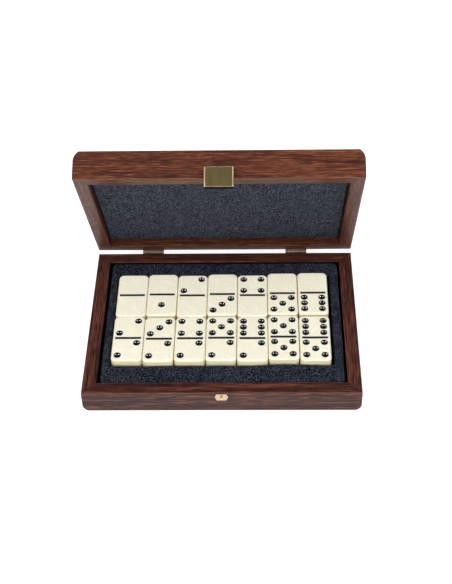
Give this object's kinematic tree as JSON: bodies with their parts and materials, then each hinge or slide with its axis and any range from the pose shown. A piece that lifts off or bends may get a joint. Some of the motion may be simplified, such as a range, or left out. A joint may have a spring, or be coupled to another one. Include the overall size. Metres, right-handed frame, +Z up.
{
  "type": "domino storage box",
  "caption": "Hinged wooden case with mitred corners, a foam insert holding layered domino tiles, a padded lid and a brass latch plate.",
  "frame": {"origin": "middle of the base's underside, on the surface that the case rests on", "axes": "+Z up, +X to the right and -Y to the front, as seen by someone who faces the latch; the hinges are on the +Y side"},
  "size_m": [0.212, 0.1782, 0.1696],
  "materials": {
    "dark_wood": "satin lacquered, fine dark streaks",
    "charcoal_felt": "short napped felt",
    "flocked_foam": "flocked foam",
    "satin_brass": "satin, polished edges",
    "hinge_brass": "dull antique",
    "polished_brass": "polished",
    "ivory_resin": "glossy, faint pearl swirls, black pips and line"
  },
  "bodies": {
    "base": {"base_front_wall": "dark_wood", "base_rear_wall": "dark_wood", "base_left_wall": "dark_wood", "base_right_wall": "dark_wood", "base_panel": "dark_wood", "floor_liner": "charcoal_felt", "foam_insert": "flocked_foam", "left_hinge_base_leaf": "hinge_brass", "left_hinge_pin": "hinge_brass", "right_hinge_base_leaf": "hinge_brass", "right_hinge_pin": "hinge_brass", "base_hinge_screws": "hinge_brass", "keeper_plate": "polished_brass", "keeper_stud": "polished_brass"},
    "lid": {"lid_front_wall": "dark_wood", "lid_rear_wall": "dark_wood", "lid_left_wall": "dark_wood", "lid_right_wall": "dark_wood", "lid_panel": "dark_wood", "lid_pad": "charcoal_felt", "left_hinge_lid_leaf": "hinge_brass", "right_hinge_lid_leaf": "hinge_brass", "lid_hinge_screws": "hinge_brass", "latch_mount": "satin_brass", "latch_pin": "satin_brass", "latch_brads": "satin_brass"},
    "latch": {"latch_flap": "satin_brass"},
    "domino_1_1": {"domino_1_1": "ivory_resin"},
    "domino_0_0": {"domino_0_0": "ivory_resin"},
    "domino_1_2": {"domino_1_2": "ivory_resin"},
    "domino_0_1": {"domino_0_1": "ivory_resin"},
    "domino_1_3": {"domino_1_3": "ivory_resin"},
    "domino_0_2": {"domino_0_2": "ivory_resin"},
    "domino_1_4": {"domino_1_4": "ivory_resin"},
    "domino_0_3": {"domino_0_3": "ivory_resin"},
    "domino_1_5": {"domino_1_5": "ivory_resin"},
    "domino_0_4": {"domino_0_4": "ivory_resin"},
    "domino_1_6": {"domino_1_6": "ivory_resin"},
    "domino_0_5": {"domino_0_5": "ivory_resin"},
    "domino_6_6": {"domino_6_6": "ivory_resin"},
    "domino_0_6": {"domino_0_6": "ivory_resin"},
    "domino_3_3": {"domino_3_3": "ivory_resin"},
    "domino_2_2": {"domino_2_2": "ivory_resin"},
    "domino_3_4": {"domino_3_4": "ivory_resin"},
    "domino_2_3": {"domino_2_3": "ivory_resin"},
    "domino_3_5": {"domino_3_5": "ivory_resin"},
    "domino_2_4": {"domino_2_4": "ivory_resin"},
    "domino_3_6": {"domino_3_6": "ivory_resin"},
    "domino_2_5": {"domino_2_5": "ivory_resin"},
    "domino_4_4": {"domino_4_4": "ivory_resin"},
    "domino_2_6": {"domino_2_6": "ivory_resin"},
    "domino_4_5": {"domino_4_5": "ivory_resin"},
    "domino_5_5": {"domino_5_5": "ivory_resin"},
    "domino_4_6": {"domino_4_6": "ivory_resin"},
    "domino_5_6": {"domino_5_6": "ivory_resin"}
  },
  "joints": [
    {"name": "lid_hinge", "type": "hinge", "parent": "base", "child": "lid", "pos_m": [0, 0.07965, 0.0207], "axis": [-1, 0, 0], "range_deg": [-62, 48]},
    {"name": "latch_hinge", "type": "hinge", "parent": "lid", "child": "latch", "pos_m": [0, 0.01004, 0.16376], "axis": [-1, 0, 0], "range_deg": [0, 90]},
    {"name": "domino_1_1_lift", "type": "slide", "parent": "base", "child": "domino_1_1", "axis": [0, 0, 1], "range_m": [0, 0.024]},
    {"name": "domino_0_0_lift", "type": "slide", "parent": "domino_1_1", "child": "domino_0_0", "axis": [0, 0, 1], "range_m": [0, 0.024]},
    {"name": "domino_1_2_lift", "type": "slide", "parent": "base", "child": "domino_1_2", "axis": [0, 0, 1], "range_m": [0, 0.024]},
    {"name": "domino_0_1_lift", "type": "slide", "parent": "domino_1_2", "child": "domino_0_1", "axis": [0, 0, 1], "range_m": [0, 0.024]},
    {"name": "domino_1_3_lift", "type": "slide", "parent": "base", "child": "domino_1_3", "axis": [0, 0, 1], "range_m": [0, 0.024]},
    {"name": "domino_0_2_lift", "type": "slide", "parent": "domino_1_3", "child": "domino_0_2", "axis": [0, 0, 1], "range_m": [0, 0.024]},
    {"name": "domino_1_4_lift", "type": "slide", "parent": "base", "child": "domino_1_4", "axis": [0, 0, 1], "range_m": [0, 0.024]},
    {"name": "domino_0_3_lift", "type": "slide", "parent": "domino_1_4", "child": "domino_0_3", "axis": [0, 0, 1], "range_m": [0, 0.024]},
    {"name": "domino_1_5_lift", "type": "slide", "parent": "base", "child": "domino_1_5", "axis": [0, 0, 1], "range_m": [0, 0.024]},
    {"name": "domino_0_4_lift", "type": "slide", "parent": "domino_1_5", "child": "domino_0_4", "axis": [0, 0, 1], "range_m": [0, 0.024]},
    {"name": "domino_1_6_lift", "type": "slide", "parent": "base", "child": "domino_1_6", "axis": [0, 0, 1], "range_m": [0, 0.024]},
    {"name": "domino_0_5_lift", "type": "slide", "parent": "domino_1_6", "child": "domino_0_5", "axis": [0, 0, 1], "range_m": [0, 0.024]},
    {"name": "domino_6_6_lift", "type": "slide", "parent": "base", "child": "domino_6_6", "axis": [0, 0, 1], "range_m": [0, 0.024]},
    {"name": "domino_0_6_lift", "type": "slide", "parent": "domino_6_6", "child": "domino_0_6", "axis": [0, 0, 1], "range_m": [0, 0.024]},
    {"name": "domino_3_3_lift", "type": "slide", "parent": "base", "child": "domino_3_3", "axis": [0, 0, 1], "range_m": [0, 0.024]},
    {"name": "domino_2_2_lift", "type": "slide", "parent": "domino_3_3", "child": "domino_2_2", "axis": [0, 0, 1], "range_m": [0, 0.024]},
    {"name": "domino_3_4_lift", "type": "slide", "parent": "base", "child": "domino_3_4", "axis": [0, 0, 1], "range_m": [0, 0.024]},
    {"name": "domino_2_3_lift", "type": "slide", "parent": "domino_3_4", "child": "domino_2_3", "axis": [0, 0, 1], "range_m": [0, 0.024]},
    {"name": "domino_3_5_lift", "type": "slide", "parent": "base", "child": "domino_3_5", "axis": [0, 0, 1], "range_m": [0, 0.024]},
    {"name": "domino_2_4_lift", "type": "slide", "parent": "domino_3_5", "child": "domino_2_4", "axis": [0, 0, 1], "range_m": [0, 0.024]},
    {"name": "domino_3_6_lift", "type": "slide", "parent": "base", "child": "domino_3_6", "axis": [0, 0, 1], "range_m": [0, 0.024]},
    {"name": "domino_2_5_lift", "type": "slide", "parent": "domino_3_6", "child": "domino_2_5", "axis": [0, 0, 1], "range_m": [0, 0.024]},
    {"name": "domino_4_4_lift", "type": "slide", "parent": "base", "child": "domino_4_4", "axis": [0, 0, 1], "range_m": [0, 0.024]},
    {"name": "domino_2_6_lift", "type": "slide", "parent": "domino_4_4", "child": "domino_2_6", "axis": [0, 0, 1], "range_m": [0, 0.024]},
    {"name": "domino_4_5_lift", "type": "slide", "parent": "base", "child": "domino_4_5", "axis": [0, 0, 1], "range_m": [0, 0.024]},
    {"name": "domino_5_5_lift", "type": "slide", "parent": "domino_4_5", "child": "domino_5_5", "axis": [0, 0, 1], "range_m": [0, 0.024]},
    {"name": "domino_4_6_lift", "type": "slide", "parent": "base", "child": "domino_4_6", "axis": [0, 0, 1], "range_m": [0, 0.024]},
    {"name": "domino_5_6_lift", "type": "slide", "parent": "domino_4_6", "child": "domino_5_6", "axis": [0, 0, 1], "range_m": [0, 0.024]}
  ]
}
